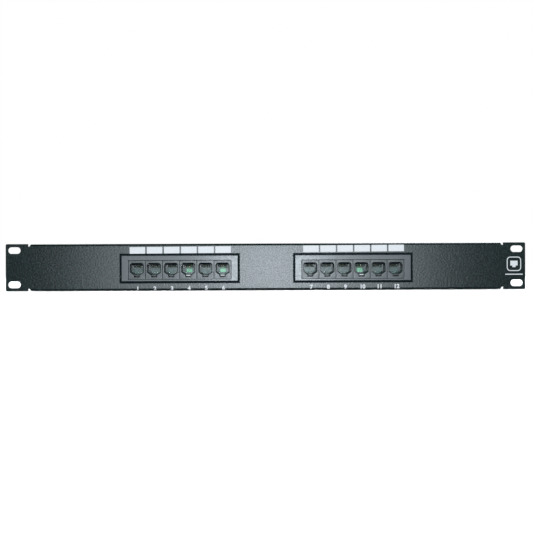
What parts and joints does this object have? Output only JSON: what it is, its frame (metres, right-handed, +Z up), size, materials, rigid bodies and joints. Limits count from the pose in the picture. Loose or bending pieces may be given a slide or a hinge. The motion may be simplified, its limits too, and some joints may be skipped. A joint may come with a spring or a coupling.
{
  "type": "rack patch panel",
  "caption": "One-unit 19-inch rack patch panel with modular jacks in two modules, and punch-down blocks behind them.",
  "frame": {"origin": "centre of the front sheet's rear face, in the plane of the rack rails' front faces", "axes": "+X to the right seen from the front, +Y to the rear, +Z up; the front faces -Y"},
  "size_m": [0.4826, 0.0334, 0.0436],
  "materials": {
    "powder_coat": "semi-gloss black powder coat on steel",
    "bezel_plastic": "polished moulded black plastic",
    "jack_plastic": "moulded black plastic",
    "contact_gold": "gold-plated spring bronze",
    "circuit_board": "green solder mask on glass epoxy",
    "block_plastic": "moulded off-white plastic",
    "zinc_steel": "bright zinc plate",
    "label_strip": "extruded white plastic"
  },
  "bodies": {
    "root": {"front_panel": "powder_coat", "bezel_left": "bezel_plastic", "circuit_board_left": "circuit_board", "label_strip_left": "label_strip", "bezel_right": "bezel_plastic", "circuit_board_right": "circuit_board", "label_strip_right": "label_strip", "jack_housing_01": "jack_plastic", "idc_block_01": "block_plastic", "jack_housing_02": "jack_plastic", "idc_block_02": "block_plastic", "jack_housing_03": "jack_plastic", "idc_block_03": "block_plastic", "jack_housing_04": "jack_plastic", "idc_block_04": "block_plastic", "jack_housing_05": "jack_plastic", "idc_block_05": "block_plastic", "jack_housing_06": "jack_plastic", "idc_block_06": "block_plastic", "jack_housing_07": "jack_plastic", "idc_block_07": "block_plastic", "jack_housing_08": "jack_plastic", "idc_block_08": "block_plastic", "jack_housing_09": "jack_plastic", "idc_block_09": "block_plastic", "jack_housing_10": "jack_plastic", "idc_block_10": "block_plastic", "jack_housing_11": "jack_plastic", "idc_block_11": "block_plastic", "jack_housing_12": "jack_plastic", "idc_block_12": "block_plastic", "board_screw_1": "zinc_steel", "board_screw_2": "zinc_steel", "board_screw_3": "zinc_steel", "board_screw_4": "zinc_steel", "board_screw_5": "zinc_steel", "board_screw_6": "zinc_steel", "board_screw_7": "zinc_steel", "board_screw_8": "zinc_steel", "panel_stud_1": "zinc_steel", "stud_nut_1": "zinc_steel", "panel_stud_2": "zinc_steel", "stud_nut_2": "zinc_steel", "panel_stud_3": "zinc_steel", "stud_nut_3": "zinc_steel", "panel_stud_4": "zinc_steel", "stud_nut_4": "zinc_steel"},
    "contacts_01": {"jack_contacts_01": "contact_gold"},
    "contacts_02": {"jack_contacts_02": "contact_gold"},
    "contacts_03": {"jack_contacts_03": "contact_gold"},
    "contacts_04": {"jack_contacts_04": "contact_gold"},
    "contacts_05": {"jack_contacts_05": "contact_gold"},
    "contacts_06": {"jack_contacts_06": "contact_gold"},
    "contacts_07": {"jack_contacts_07": "contact_gold"},
    "contacts_08": {"jack_contacts_08": "contact_gold"},
    "contacts_09": {"jack_contacts_09": "contact_gold"},
    "contacts_10": {"jack_contacts_10": "contact_gold"},
    "contacts_11": {"jack_contacts_11": "contact_gold"},
    "contacts_12": {"jack_contacts_12": "contact_gold"}
  },
  "joints": [
    {"name": "contact_flex_01", "type": "hinge", "parent": "root", "child": "contacts_01", "pos_m": [-0.12019, 0.002, 0.00415], "axis": [1, 0, 0], "range_deg": [0, 14], "stiffness_Nm_per_rad": 0.002},
    {"name": "contact_flex_02", "type": "hinge", "parent": "root", "child": "contacts_02", "pos_m": [-0.10431, 0.002, 0.00415], "axis": [1, 0, 0], "range_deg": [0, 14], "stiffness_Nm_per_rad": 0.002},
    {"name": "contact_flex_03", "type": "hinge", "parent": "root", "child": "contacts_03", "pos_m": [-0.08844, 0.002, 0.00415], "axis": [1, 0, 0], "range_deg": [0, 14], "stiffness_Nm_per_rad": 0.002},
    {"name": "contact_flex_04", "type": "hinge", "parent": "root", "child": "contacts_04", "pos_m": [-0.07256, 0.002, 0.00415], "axis": [1, 0, 0], "range_deg": [0, 14], "stiffness_Nm_per_rad": 0.002},
    {"name": "contact_flex_05", "type": "hinge", "parent": "root", "child": "contacts_05", "pos_m": [-0.05669, 0.002, 0.00415], "axis": [1, 0, 0], "range_deg": [0, 14], "stiffness_Nm_per_rad": 0.002},
    {"name": "contact_flex_06", "type": "hinge", "parent": "root", "child": "contacts_06", "pos_m": [-0.04081, 0.002, 0.00415], "axis": [1, 0, 0], "range_deg": [0, 14], "stiffness_Nm_per_rad": 0.002},
    {"name": "contact_flex_07", "type": "hinge", "parent": "root", "child": "contacts_07", "pos_m": [0.04081, 0.002, 0.00415], "axis": [1, 0, 0], "range_deg": [0, 14], "stiffness_Nm_per_rad": 0.002},
    {"name": "contact_flex_08", "type": "hinge", "parent": "root", "child": "contacts_08", "pos_m": [0.05669, 0.002, 0.00415], "axis": [1, 0, 0], "range_deg": [0, 14], "stiffness_Nm_per_rad": 0.002},
    {"name": "contact_flex_09", "type": "hinge", "parent": "root", "child": "contacts_09", "pos_m": [0.07256, 0.002, 0.00415], "axis": [1, 0, 0], "range_deg": [0, 14], "stiffness_Nm_per_rad": 0.002},
    {"name": "contact_flex_10", "type": "hinge", "parent": "root", "child": "contacts_10", "pos_m": [0.08844, 0.002, 0.00415], "axis": [1, 0, 0], "range_deg": [0, 14], "stiffness_Nm_per_rad": 0.002},
    {"name": "contact_flex_11", "type": "hinge", "parent": "root", "child": "contacts_11", "pos_m": [0.10431, 0.002, 0.00415], "axis": [1, 0, 0], "range_deg": [0, 14], "stiffness_Nm_per_rad": 0.002},
    {"name": "contact_flex_12", "type": "hinge", "parent": "root", "child": "contacts_12", "pos_m": [0.12019, 0.002, 0.00415], "axis": [1, 0, 0], "range_deg": [0, 14], "stiffness_Nm_per_rad": 0.002}
  ]
}
